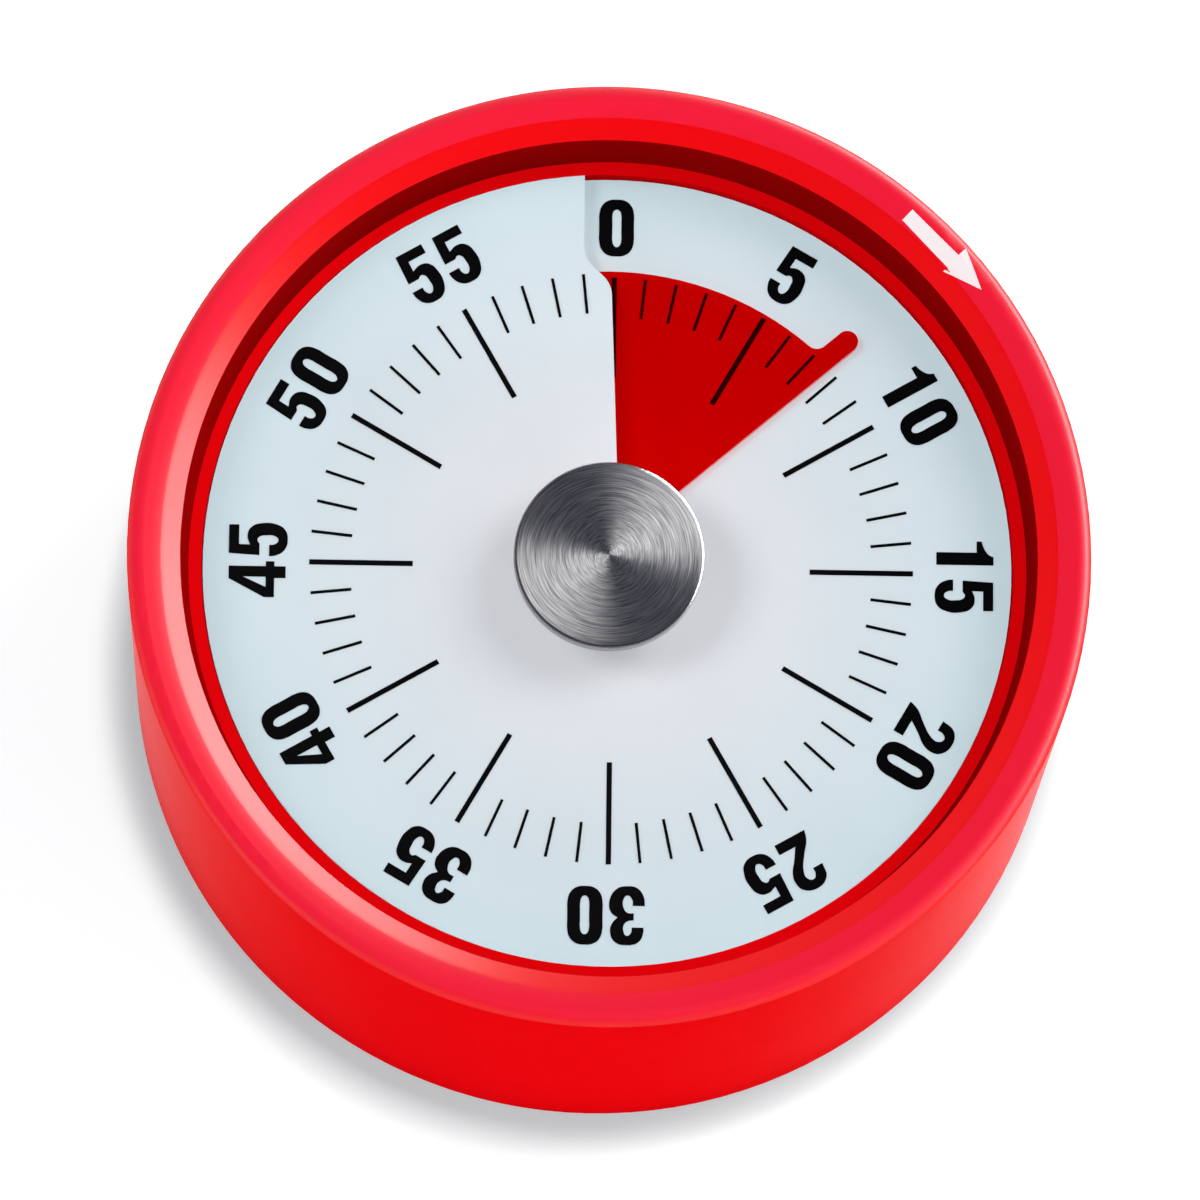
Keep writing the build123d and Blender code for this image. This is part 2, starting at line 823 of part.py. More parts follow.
def hammer_head():
    place = at(hammer_head_circle, hammer_head_angle)
    return turned(
        (
            (hammer_head_radius, star_z - hammer_head_height, star_z),
            (hammer_rivet_radius, star_z, star_top_z),
        ),
        place,
    )


def hammer_post():
    low = star_z - stud_head - end_shake
    return turned(
        (
            (stud_head_radius, low, low + stud_head),
            (stud_radius, low + stud_head, back_top_z),
        ),
        hammer_place,
    )


parts = {
    "case_shell": case_shell(),
    "back_cover": back_cover(),
    "magnets": magnets(),
    "dial_carrier": dial_carrier(),
    "dial": dial(),
    "flag": flag(),
    "flag_hub": flag_hub(),
    "knob_cap": knob_cap(),
    "knob_core": knob_core(),
    "main_arbor": main_arbor(),
    "front_bush": front_bush(),
    "rear_bush": rear_bush(),
    "front_plate": front_plate(),
    "back_plate": back_plate(),
    "pillars": pillars(),
    "mainspring": mainspring(),
    "spring_post": spring_post(),
    "great_wheel": great_wheel(),
    "clutch_spring": clutch_spring(),
    "trip_cam": trip_cam(),
    "second_arbor": second_arbor(),
    "second_wheel": second_wheel(),
    "strike_star": strike_star(),
    "third_arbor": third_arbor(),
    "third_wheel": third_wheel(),
    "escape_arbor": escape_arbor(),
    "escape_wheel": escape_wheel(),
    "anchor_arbor": anchor_arbor(),
    "anchor": anchor(),
    "balance_bar": balance_bar(),
    "trip_post": trip_post(),
    "trip_lever": trip_lever(),
    "bell": bell(),
    "bell_post": bell_post(),
    "hammer": hammer(),
    "hammer_head": hammer_head(),
    "hammer_post": hammer_post(),
    "cover_screws": screws(
        boss_places, cover_screw_radius, cover_screw_length - cover_counterbore,
        cover_head_radius, cover_head_height, cover_counterbore,
    ),
    "movement_screws": screws(
        mount_places, mount_screw_radius, plate_thickness + mount_screw_bite,
        mount_head_radius, mount_head_height, front_under_z,
    ),
    "pillar_screws": screws(
        pillar_places, pillar_tenon_radius, plate_thickness + pillar_screw_length - end_shake,
        pillar_head_radius, pillar_head_height, back_under_z,
    ),
    "bell_screw": screws(
        [(0, 0)], bell_screw_radius, bell_sheet + bell_screw_bite,
        bell_head_radius, bell_head_height, bell_crown_z,
    ),
}

os.makedirs("parts", exist_ok=True)
for name, shape in parts.items():
    export_step(shape, f"parts/{name}.step")
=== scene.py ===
import math

import bmesh
import bpy
from mathutils import Matrix, Vector


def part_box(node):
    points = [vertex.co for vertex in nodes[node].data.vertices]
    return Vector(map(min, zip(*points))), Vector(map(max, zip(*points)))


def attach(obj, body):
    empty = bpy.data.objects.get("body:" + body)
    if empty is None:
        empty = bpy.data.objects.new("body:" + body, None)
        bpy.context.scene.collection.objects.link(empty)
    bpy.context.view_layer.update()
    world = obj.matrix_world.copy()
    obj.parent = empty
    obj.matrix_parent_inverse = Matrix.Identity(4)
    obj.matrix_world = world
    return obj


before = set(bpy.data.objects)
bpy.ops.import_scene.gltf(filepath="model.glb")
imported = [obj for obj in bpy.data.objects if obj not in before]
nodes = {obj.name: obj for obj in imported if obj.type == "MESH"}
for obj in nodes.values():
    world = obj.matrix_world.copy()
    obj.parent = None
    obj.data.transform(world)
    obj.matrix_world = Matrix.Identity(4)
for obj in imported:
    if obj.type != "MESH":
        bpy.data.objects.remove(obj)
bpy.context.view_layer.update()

# The case shell is a deep red ABS drum, moulded in one piece with its sloped rim and its recess.
# The back cover is moulded from the same batch, drops into the shell's open back and is held by three screws.
mm = 0.001
case_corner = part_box("case_shell")[1]
case_radius = case_corner[0]
rim_top = case_corner[2]
lip_radius = 35.81 * mm
ledge_level = 37.1 * mm
cavity_level = 20 * mm
recess_level = 25 * mm
land_inner = 37.46 * mm
land_outer = 39.6 * mm
rounding_start = case_radius - 1.35 * mm
rounding_full = case_radius - 0.85 * mm
side_start = case_radius - 0.3 * mm
side_full = case_radius - 0.1 * mm
edge_blur = 0.03 * mm


def linear(code):
    """A colour written as sRGB hex, as the linear red, green, blue and alpha that shaders take."""
    channels = [int(code[place:place + 2], 16) / 255 for place in (0, 2, 4)]
    return [c / 12.92 if c <= 0.04045 else ((c + 0.055) / 1.055) ** 2.4 for c in channels] + [1.0]


def add(tree, kind, sockets=(), **settings):
    """Adds a node. Each socket is given a value, or is linked to another node's output."""
    made = tree.nodes.new("ShaderNode" + kind)
    for name, value in settings.items():
        setattr(made, name, value)
    for socket, value in dict(sockets).items():
        if isinstance(value, bpy.types.NodeSocket):
            tree.links.new(value, made.inputs[socket])
        else:
            made.inputs[socket].default_value = value
    return made


def mottled_finish(name, colours, patch, roughness, grain, depth, metallic=0.0):
    """A finish that drifts between two colours and two gloss levels over patches, with a fine grain.

    Patch, grain and depth are real lengths in mm."""
    material = bpy.data.materials.new(name)
    material.use_nodes = True
    tree = material.node_tree
    shader = tree.nodes["Principled BSDF"]
    shader.inputs["Metallic"].default_value = metallic
    place = add(tree, "TexCoord").outputs["Object"]
    clouds = add(tree, "TexNoise", {"Vector": place, "Scale": 1 / (patch * mm), "Detail": 3.0})
    colour = add(tree, "MixRGB", {
        "Fac": clouds.outputs["Fac"], "Color1": linear(colours[0]), "Color2": linear(colours[1])})
    gloss = add(tree, "MapRange", {
        "Value": clouds.outputs["Fac"], "To Min": roughness[0], "To Max": roughness[1]})
    grains = add(tree, "TexNoise", {"Vector": place, "Scale": 1 / (grain * mm), "Detail": 1.0})
    relief = add(tree, "Bump", {"Height": grains.outputs["Fac"], "Distance": depth * mm})
    tree.links.new(colour.outputs["Color"], shader.inputs["Base Color"])
    tree.links.new(gloss.outputs["Result"], shader.inputs["Roughness"])
    tree.links.new(relief.outputs["Normal"], shader.inputs["Normal"])
    return material


def dress(material, *names):
    """Gives CAD nodes a finish."""
    for name in names:
        for place in nodes[name].material_slots:
            place.material = material


def distance_from_axis(tree):
    """How far a point lies from the timer's axis, in metres, as a node's output."""
    place = add(tree, "TexCoord").outputs["Object"]
    flat = add(tree, "VectorMath", {0: place, 1: (1.0, 1.0, 0.0)}, operation="MULTIPLY")
    return add(tree, "VectorMath", {0: flat.outputs["Vector"]}, operation="LENGTH").outputs["Value"]


# Spark-eroded ABS has a satin skin: a soft, wide highlight broken up by a fine even grain.
# The real grain is about 0.05 mm, and it is drawn at 0.3 mm so that it shows.
red_abs = mottled_finish(
    "satin_red_abs", ("f3030c", "ed030a"), patch=14, roughness=(0.3, 0.38), grain=0.3, depth=0.004)
red_tree = red_abs.node_tree
red_shader = red_tree.nodes["Principled BSDF"]
red_reach = distance_from_axis(red_tree)
red_place = add(red_tree, "TexCoord").outputs["Object"]
red_height = add(red_tree, "SeparateXYZ", {"Vector": red_place}).outputs["Z"]
near_top = add(red_tree, "MapRange", {
    "Value": red_height, "From Min": cavity_level, "From Max": recess_level})
short_of_lip = add(red_tree, "MapRange", {
    "Value": red_reach, "From Min": lip_radius + edge_blur, "From Max": lip_radius})
within_lip = add(red_tree, "Math", {
    0: short_of_lip.outputs["Result"], 1: near_top.outputs["Result"]}, operation="MULTIPLY")
above_ledge = add(red_tree, "MapRange", {
    "Value": red_height, "From Min": ledge_level + edge_blur, "From Max": ledge_level + 2 * edge_blur})
recess_wall = add(red_tree, "Math", {
    0: within_lip.outputs["Value"], 1: above_ledge.outputs["Result"]}, operation="MULTIPLY")
beyond_slope = add(red_tree, "MapRange", {
    "Value": red_reach, "From Min": land_inner - edge_blur, "From Max": land_inner + edge_blur})
short_of_side = add(red_tree, "MapRange", {
    "Value": red_reach, "From Min": side_full, "From Max": land_outer})
on_flats = add(red_tree, "Math", {
    0: beyond_slope.outputs["Result"], 1: short_of_side.outputs["Result"]}, operation="MULTIPLY")
on_land = add(red_tree, "Math", {
    0: on_flats.outputs["Value"], 1: near_top.outputs["Result"]}, operation="MULTIPLY")
rounding = add(red_tree, "MapRange", {
    "Value": red_reach, "From Min": rounding_start, "From Max": rounding_full})
side_wall = add(red_tree, "MapRange", {
    "Value": red_reach, "From Min": side_start, "From Max": side_full})

# The land on top is painted a paler, pinker red, as painted sheen, and the recess is painted a deeper red,
# deepest on its wall, as painted shade.
land_painted_sheen = add(red_tree, "MixRGB", {
    "Fac": on_land.outputs["Value"], "Color1": red_shader.inputs["Base Color"].links[0].from_socket,
    "Color2": linear("f01d37")})
# Painted shade: everything inside the lip is painted a darker red.
recess_painted_shade = add(red_tree, "MixRGB", {
    "Fac": within_lip.outputs["Value"], "Color1": land_painted_sheen.outputs["Color"], "Color2": linear("e4030a")})
# Painted shade: the recess wall is painted a much darker red.
red_with_painted_shade = add(red_tree, "MixRGB", {
    "Fac": recess_wall.outputs["Value"], "Color1": recess_painted_shade.outputs["Color"],
    "Color2": linear("920203")})
red_tree.links.new(red_with_painted_shade.outputs["Color"], red_shader.inputs["Base Color"])

# The recess is dull, and the rounded edge is a little rougher than the rest.
recess_dulling = 0.6
rounding_dulling = 0.12
red_gloss = add(red_tree, "Math", {
    0: within_lip.outputs["Value"], 1: recess_dulling,
    2: red_shader.inputs["Roughness"].links[0].from_socket}, operation="MULTIPLY_ADD")
edge_gloss = add(red_tree, "Math", {
    0: rounding.outputs["Result"], 1: rounding_dulling, 2: red_gloss.outputs["Value"]},
    operation="MULTIPLY_ADD")
red_tree.links.new(edge_gloss.outputs["Value"], red_shader.inputs["Roughness"])

# The slope shines more than the land. The side gleams at a glance, and only slightly when seen squarely.
slope_shine = 0.24
flat_shine = 0.115
rounding_shine = 0.16
glance_shine = 0.28
glance_sharpness = 40.0
square_shine = 0.22
square_none, square_all = 0.75, 0.25
recess_shine = 0.0
land_shine = add(red_tree, "MapRange", {
    "Value": on_land.outputs["Value"], "To Min": slope_shine, "To Max": flat_shine})
edge_shine = add(red_tree, "Math", {
    0: rounding.outputs["Result"], 1: rounding_shine, 2: land_shine.outputs["Result"]},
    operation="MULTIPLY_ADD")
red_edgeways = add(red_tree, "LayerWeight", {"Blend": 0.5}).outputs["Facing"]
side_glance = add(red_tree, "Math", {0: red_edgeways, 1: glance_sharpness}, operation="POWER")
side_square = add(red_tree, "MapRange", {
    "Value": red_edgeways, "From Min": square_none, "From Max": square_all, "To Max": square_shine})
side_sheen = add(red_tree, "Math", {
    0: side_glance.outputs["Value"], 1: glance_shine, 2: side_square.outputs["Result"]},
    operation="MULTIPLY_ADD")
side_shine = add(red_tree, "MapRange", {
    "Value": side_wall.outputs["Result"], "To Min": edge_shine.outputs["Value"],
    "To Max": side_sheen.outputs["Value"]})
red_shine = add(red_tree, "MapRange", {
    "Value": within_lip.outputs["Value"], "To Min": side_shine.outputs["Result"], "To Max": recess_shine})
red_tree.links.new(red_shine.outputs["Result"], red_shader.inputs["Specular IOR Level"])

# The break between slope and land is eased by polishing the mould, too slightly to change its shape.
# Each side dips towards the break by a few hundredths of a millimetre.
slope_eased_width = 0.36 * mm
land_eased_width = 0.94 * mm
slope_dip = 0.0108
land_dip = 0.0752
slope_eased = add(red_tree, "MapRange", {
    "Value": red_reach, "From Min": land_inner - slope_eased_width, "From Max": land_inner})
land_eased = add(red_tree, "MapRange", {
    "Value": red_reach, "From Min": land_inner + land_eased_width, "From Max": land_inner})
slope_fall = add(red_tree, "Math", {0: slope_eased.outputs["Result"], 1: 2.0}, operation="POWER")
land_fall = add(red_tree, "Math", {0: land_eased.outputs["Result"], 1: 2.0}, operation="POWER")
slope_drop = add(red_tree, "Math", {0: slope_fall.outputs["Value"], 1: -slope_dip}, operation="MULTIPLY")
break_level = add(red_tree, "Math", {
    0: land_fall.outputs["Value"], 1: -land_dip, 2: slope_drop.outputs["Value"]}, operation="MULTIPLY_ADD")
eased_break = add(red_tree, "Bump", {"Height": break_level.outputs["Value"], "Distance": mm})
red_grain = red_shader.inputs["Normal"].links[0].from_node
red_tree.links.new(eased_break.outputs["Normal"], red_grain.inputs["Normal"])
dress(red_abs, "case_shell", "back_cover")

# The case throws no red on the dial and the paper, which are neutral beside it.
nodes["case_shell"].visible_diffuse = False
nodes["back_cover"].visible_diffuse = False

# Four ferrite discs are pressed into pockets in the back cover, to hold the timer on a steel door.
# They are sintered and ground, so they are nearly black with a dull, gritty face.
ferrite = mottled_finish(
    "ground_ferrite", ("2b2b2e", "3a3a3d"), patch=1.5, roughness=(0.5, 0.65), grain=0.25, depth=0.01,
    metallic=0.3)
dress(ferrite, "magnets")

# The movement's plates are blanked from steel sheet and zinc plated, and its screws are plated with them.
# Bright zinc shows a pale, slightly blue grey with faint crystals a few millimetres across.
zinc = mottled_finish(
    "bright_zinc_plate", ("aeb4ba", "c3c6c8"), patch=3, roughness=(0.28, 0.42), grain=0.4, depth=0.003,
    metallic=1.0)
dress(zinc, "front_plate", "back_plate", "cover_screws", "movement_screws", "pillar_screws", "bell_screw")

# Pillars, posts and arbors are turned from free-cutting steel rod and pressed or riveted into the plates.
# Levers, anchor and balance bar are filed from the same steel, a clean grey with fine tool marks.
steel = mottled_finish(
    "turned_steel_rod", ("8b8e92", "a0a2a5"), patch=2, roughness=(0.25, 0.4), grain=0.2, depth=0.004,
    metallic=1.0)
dress(steel, "pillars", "spring_post", "trip_post", "hammer_post", "bell_post", "trip_lever", "hammer",
      "main_arbor", "second_arbor", "third_arbor", "escape_arbor", "anchor_arbor", "anchor", "balance_bar")

# Wheels, cams and bushes are cut from hard brass, and the hammer's head is a brass slug.
# Clock brass is a warm yellow that has dulled a little in patches.
brass = mottled_finish(
    "cut_clock_brass", ("c49a4a", "d8b565"), patch=2.5, roughness=(0.24, 0.4), grain=0.25, depth=0.004,
    metallic=1.0)
dress(brass, "front_bush", "rear_bush", "great_wheel", "second_wheel", "third_wheel", "escape_wheel",
      "trip_cam", "strike_star", "hammer_head")

# The mainspring and the clutch spring are hardened strip, tempered until they turned dark blue.
# The oxide's colour runs from slate to violet along the strip.
blued = mottled_finish(
    "blued_spring_steel", ("3a4663", "4c4a6a"), patch=4, roughness=(0.22, 0.34), grain=0.3, depth=0.002,
    metallic=1.0)
dress(blued, "mainspring", "clutch_spring")

# The bell is a drawn steel cup, polished and nickel plated so that it rings clear and doesn't rust.
# Nickel is bright and a little warm, with the faint ripple that drawing leaves.
nickel = mottled_finish(
    "nickel_plated_cup", ("cdc8be", "dad6cd"), patch=6, roughness=(0.1, 0.18), grain=1.2, depth=0.004,
    metallic=1.0)
dress(nickel, "bell")

# The dial's carrier ring, the flag's hub and the knob's core are black mouldings that stay in the shade.
# They are acetal, with a waxy half gloss and hardly any grain.
black = mottled_finish(
    "black_acetal", ("17171a", "222226"), patch=6, roughness=(0.36, 0.48), grain=0.3, depth=0.003)
dress(black, "dial_carrier", "flag_hub", "knob_core")

# The dial is one polystyrene sheet, cut once from hole to edge and glued to the carrier in a rising turn.
# The sheet is matt and pale. It is painted darker and cooler towards its edge, as painted shade under the
# rim.
dial_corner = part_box("dial")[1]
dial_radius = dial_corner[0]
dial_top = dial_corner[2]
edge_shade_start = 0.3 * dial_radius
dial_matt = mottled_finish(
    "matt_polystyrene_sheet", ("ffffff", "f4f6f6"), patch=9, roughness=(0.48, 0.58), grain=0.25, depth=0.002)
dial_tree = dial_matt.node_tree
dial_shader = dial_tree.nodes["Principled BSDF"]
dial_edgeward = add(dial_tree, "MapRange", {
    "Value": distance_from_axis(dial_tree), "From Min": edge_shade_start, "From Max": dial_radius})
# Painted shade: the dial is painted darker and cooler towards its edge.
dial_painted_edge_shade = add(dial_tree, "MixRGB", {
    "Fac": dial_edgeward.outputs["Result"], "Color1": linear("d3d4d8"), "Color2": linear("c2d2d8")})
dial_patches = dial_shader.inputs["Base Color"].links[0].from_socket
dial_colour = add(dial_tree, "MixRGB", {
    "Fac": 1.0, "Color1": dial_patches, "Color2": dial_painted_edge_shade.outputs["Color"]}, blend_type="MULTIPLY")
dial_tree.links.new(dial_colour.outputs["Color"], dial_shader.inputs["Base Color"])
dress(dial_matt, "dial")

# The minute marks are screen-printed on the dial before it is cut, in one pass of black ink.
# Each lies on the rising sheet, and the mark at 0 is cut by the slit, which leans across it.
minute_angle = 6
spiral_rise = 1.6 * mm
ink_sunk = 0.02 * mm
ink_depth = 0.05 * mm
print_shift = Matrix.Translation((0.32 * mm, 0.05 * mm, 0))
minute_mark = {"inner": 21.93 * mm, "outer": 25.37 * mm, "width": 0.25 * mm}
five_minute_mark = {"inner": 16.69 * mm, "outer": 25.39 * mm, "width": 0.44 * mm}
slit_point = (0.1 * mm, 23.4 * mm, 0)
slit_side = (1, 0.039, 0)


def settle(verts, heading):
    """Lays the flat points of a mark on the dial, a little sunk. The heading picks the turn of the spiral."""
    for vert in verts:
        turn = math.degrees(math.atan2(vert.co.x, vert.co.y))
        across = (turn - heading + 180) % 360 - 180
        vert.co.z = dial_top - spiral_rise * (1 - (heading + across) / 360) - ink_sunk


def raise_ink(ink, name, body, material):
    """Gives printed areas the thickness of ink, and makes a piece of them that rides on a body."""
    lifted = bmesh.ops.extrude_face_region(ink, geom=ink.faces[:], use_keep_orig=True)
    tops = [part for part in lifted["geom"] if isinstance(part, bmesh.types.BMVert)]
    bmesh.ops.translate(ink, vec=(0, 0, ink_depth), verts=tops)
    bmesh.ops.recalc_face_normals(ink, faces=ink.faces[:])
    mesh = bpy.data.meshes.new(name)
    ink.to_mesh(mesh)
    ink.free()
    mesh.materials.append(material)
    piece = bpy.data.objects.new(name, mesh)
    bpy.context.scene.collection.objects.link(piece)
    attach(piece, body)


marks = bmesh.new()
for minute in range(60):
    size = minute_mark if minute % 5 else five_minute_mark
    length = size["outer"] - size["inner"]
    bar = bmesh.ops.create_grid(marks, x_segments=1, y_segments=6, size=0.5)["verts"]
    outwards = Matrix.Translation((0, size["inner"] + length / 2, 0))
    shape = outwards @ Matrix.Diagonal((size["width"], length, 1, 1))
    turned = Matrix.Rotation(-math.radians(minute_angle * minute), 4, "Z")
    bmesh.ops.transform(marks, matrix=print_shift @ turned @ shape, verts=bar)
    if minute == 0:
        bmesh.ops.bisect_plane(
            marks, geom=marks.verts[:] + marks.edges[:] + marks.faces[:], plane_co=slit_point,
            plane_no=slit_side, clear_inner=True)
        bar = marks.verts[:]
    settle(bar, minute_angle * minute)

# Screen ink dries to a thin, even, half-matt black film.
ink_shine = 0.05
black_ink = mottled_finish(
    "black_screen_ink", ("050506", "09090b"), patch=2, roughness=(0.5, 0.6), grain=0.2, depth=0.002)
black_ink.node_tree.nodes["Principled BSDF"].inputs["Specular IOR Level"].default_value = ink_shine
raise_ink(marks, "minute_marks", "case", black_ink)

# The numbers from 0 to 55 are in the same pass of ink, tops outwards, in heavy narrow figures.
# Each figure is an outline in mm from its own lower left corner.
CORNER = "VECTOR"
ROUND = "AUTO"
figure_outlines = {
    "0": [
        [(0, 1.3, ROUND), (0, 2.0, ROUND), (0, 2.8, ROUND), (0, 3.5, ROUND), (0.22, 4.3, ROUND),
         (0.72, 4.75, ROUND), (1.475, 4.87, ROUND), (2.23, 4.75, ROUND), (2.73, 4.3, ROUND),
         (2.95, 3.5, ROUND), (2.95, 2.8, ROUND), (2.95, 2.0, ROUND), (2.95, 1.3, ROUND),
         (2.73, 0.47, ROUND), (2.23, 0.02, ROUND), (1.475, -0.1, ROUND), (0.72, 0.02, ROUND),
         (0.22, 0.47, ROUND)],
        [(1.12, 1.3, ROUND), (1.12, 2.0, ROUND), (1.12, 2.8, ROUND), (1.12, 3.45, ROUND),
         (1.24, 3.85, ROUND), (1.5, 4.0, ROUND), (1.76, 3.85, ROUND), (1.88, 3.45, ROUND),
         (1.88, 2.8, ROUND), (1.88, 2.0, ROUND), (1.88, 1.3, ROUND), (1.76, 0.87, ROUND),
         (1.5, 0.7, ROUND), (1.24, 0.87, ROUND)]],
    "1": [
        [(1.17, 0, CORNER), (2.25, 0, CORNER), (2.25, 4.82, CORNER), (1.53, 4.82, CORNER),
         (1.4, 4.5, ROUND), (0.95, 4.1, ROUND), (0.2, 3.82, CORNER), (0.2, 3.4, CORNER),
         (1.17, 3.4, CORNER)]],
    "2": [
        [(0, 0, CORNER), (2.87, 0, CORNER), (2.87, 0.9, CORNER), (1.37, 0.9, CORNER), (2.0, 1.87, ROUND),
         (2.67, 2.78, ROUND), (2.87, 3.62, ROUND), (2.6, 4.4, ROUND), (1.45, 4.87, ROUND),
         (0.35, 4.4, ROUND), (0.07, 3.2, CORNER), (0.97, 3.2, CORNER), (1.0, 3.7, ROUND),
         (1.37, 4.05, ROUND), (1.83, 3.7, ROUND), (1.8, 3.1, ROUND), (1.0, 1.8, ROUND),
         (0.27, 0.85, ROUND)]],
    "3": [
        [(0.1, 3.37, CORNER), (1.08, 3.37, CORNER), (1.15, 3.85, ROUND), (1.5, 4.08, ROUND),
         (1.77, 3.7, ROUND), (1.72, 3.12, ROUND), (1.38, 2.82, ROUND), (0.92, 2.75, CORNER),
         (0.92, 2.17, CORNER), (1.47, 2.12, ROUND), (1.8, 1.62, ROUND), (1.8, 1.03, ROUND),
         (1.47, 0.65, ROUND), (1.08, 0.95, ROUND), (1.0, 1.53, CORNER), (0, 1.53, CORNER),
         (0.08, 0.78, ROUND), (0.63, 0.03, ROUND), (1.47, -0.13, ROUND), (2.38, 0.12, ROUND),
         (2.97, 1.2, ROUND), (2.8, 2.12, ROUND), (2.27, 2.53, CORNER), (2.72, 3.03, ROUND),
         (2.88, 3.78, ROUND), (2.47, 4.62, ROUND), (1.5, 4.87, ROUND), (0.47, 4.57, ROUND),
         (0.1, 3.7, ROUND)]],
    "4": [
        [(1.58, 4.78, CORNER), (2.65, 4.78, CORNER), (2.65, 1.67, CORNER), (3.07, 1.67, CORNER),
         (3.07, 0.95, CORNER), (2.65, 0.95, CORNER), (2.65, 0, CORNER), (1.65, 0, CORNER),
         (1.65, 0.95, CORNER), (0, 0.95, CORNER), (0, 1.8, CORNER)],
        [(0.87, 1.67, CORNER), (1.75, 1.67, CORNER), (1.75, 3.6, CORNER)]],
    "5": [
        [(0.22, 4.8, CORNER), (2.68, 4.8, CORNER), (2.68, 3.95, CORNER), (1.0, 3.95, CORNER),
         (0.97, 3.03, CORNER), (1.72, 3.25, ROUND), (2.47, 2.95, ROUND), (2.83, 1.95, ROUND),
         (2.77, 0.95, ROUND), (2.3, 0.12, ROUND), (1.47, -0.13, ROUND), (0.55, 0.12, ROUND),
         (0.07, 0.87, ROUND), (0, 1.42, CORNER), (0.97, 1.42, CORNER), (1.02, 0.95, ROUND),
         (1.38, 0.65, ROUND), (1.72, 0.95, ROUND), (1.78, 1.7, ROUND), (1.68, 2.2, ROUND),
         (1.38, 2.42, ROUND), (1.05, 2.23, CORNER), (0.08, 2.23, CORNER)]],
}
figure_width = 2.95 * mm
figure_height = 4.78 * mm
figure_advance = 3.52 * mm
number_radius = 29.74 * mm
number_shift = 0.15 * mm


def figure_area(outlines):
    """The flat filled area of one figure, as a mesh."""
    curve = bpy.data.curves.new("figure", "CURVE")
    curve.dimensions = "2D"
    curve.fill_mode = "FRONT"
    curve.resolution_u = 5
    for outline in outlines:
        spline = curve.splines.new("BEZIER")
        spline.bezier_points.add(len(outline) - 1)
        spline.use_cyclic_u = True
        for point, (x, y, handle) in zip(spline.bezier_points, outline):
            point.co = (x * mm, y * mm, 0)
            point.handle_left_type = handle
            point.handle_right_type = handle
    holder = bpy.data.objects.new("figure", curve)
    area = bpy.data.meshes.new_from_object(holder)
    bpy.data.objects.remove(holder)
    bpy.data.curves.remove(curve)
    return area


figure_areas = {figure: figure_area(outlines) for figure, outlines in figure_outlines.items()}
numbers = bmesh.new()
for number in range(0, 60, 5):
    figures = str(number)
    half_length = (figure_advance * (len(figures) - 1) + figure_width) / 2
    turned = Matrix.Rotation(-math.radians(minute_angle * number), 4, "Z")
    for place, figure in enumerate(figures):
        before = len(numbers.verts)
        numbers.from_mesh(figure_areas[figure])
        numbers.verts.ensure_lookup_table()
        own = numbers.verts[before:]
        corner = Matrix.Translation((
            number_shift - half_length + place * figure_advance, number_radius - figure_height / 2, 0))
        bmesh.ops.transform(numbers, matrix=print_shift @ turned @ corner, verts=own)
        settle(own, minute_angle * number)
for area in figure_areas.values():
    bpy.data.meshes.remove(area)
raise_ink(numbers, "dial_numbers", "case", black_ink)

# The flag is a disc of clear red film, welded to its hub and cut once, so that it winds through the slit.
# Light passes it twice, down and back, so what lies under it shows in deep red with its marks still black.
film_wave = 7 * mm
film_mirror = 0.02
flag_film = bpy.data.materials.new("clear_red_film")
flag_film.use_nodes = True
flag_tree = flag_film.node_tree
film_skin = flag_tree.nodes["Principled BSDF"]
film_skin.inputs["Base Color"].default_value = linear("c8040a")
flag_place = add(flag_tree, "TexCoord").outputs["Object"]
film_waves = add(flag_tree, "TexNoise", {"Vector": flag_place, "Scale": 1 / film_wave, "Detail": 2.0})
film_gloss = add(flag_tree, "MapRange", {"Value": film_waves.outputs["Fac"], "To Min": 0.22, "To Max": 0.34})
flag_tree.links.new(film_gloss.outputs["Result"], film_skin.inputs["Roughness"])
film_tint = add(flag_tree, "MixRGB", {
    "Fac": film_waves.outputs["Fac"], "Color1": linear("f90508"), "Color2": linear("f80406")})
film_clear = add(flag_tree, "BsdfTransparent", {"Color": film_tint.outputs["Color"]})
film_both = add(flag_tree, "MixShader", {
    0: film_mirror, 1: film_clear.outputs["BSDF"], 2: film_skin.outputs["BSDF"]})
flag_tree.links.new(film_both.outputs["Shader"], flag_tree.nodes["Material Output"].inputs["Surface"])
dress(flag_film, "flag")

# The knob's cap is stainless steel, pressed over the core, faced on a lathe and rubbed with grit as it spins.
# The rings of scratches fan the light out in wedges from the middle, and the chamfered edge stays smooth.
# The real scratches are a few hundredths of a millimetre wide, and are drawn at 0.08 mm so that they show.
scratch_width = 0.08 * mm
scratch_depth = 0.004 * mm
scratches_around = 2.5
faint_scratch, deep_scratch = 0.3, 0.7
face_radius = 7.72 * mm
skirt_radius = face_radius + 0.1 * mm
skirt_roughness = 0.26
scratch_lay = 0.195
spun_steel = mottled_finish(
    "spun_stainless_steel", ("ffffff", "f0f0f0"), patch=2, roughness=(0.42, 0.48), grain=0.2, depth=0.001,
    metallic=1.0)
spun_tree = spun_steel.node_tree
spun_shader = spun_tree.nodes["Principled BSDF"]
spun_shader.inputs["Anisotropic"].default_value = 0.85
spun_shader.inputs["Anisotropic Rotation"].default_value = scratch_lay
spun_reach = distance_from_axis(spun_tree)
spun_place = add(spun_tree, "TexCoord").outputs["Object"]
spun_flat = add(spun_tree, "VectorMath", {0: spun_place, 1: (1.0, 1.0, 0.0)}, operation="MULTIPLY")
spun_way = add(spun_tree, "VectorMath", {0: spun_flat.outputs["Vector"]}, operation="NORMALIZE")
spun_around = add(spun_tree, "VectorMath", {
    0: spun_way.outputs["Vector"], "Scale": scratches_around}, operation="SCALE")
spun_count = add(spun_tree, "Math", {0: spun_reach, 1: scratch_width}, operation="DIVIDE")
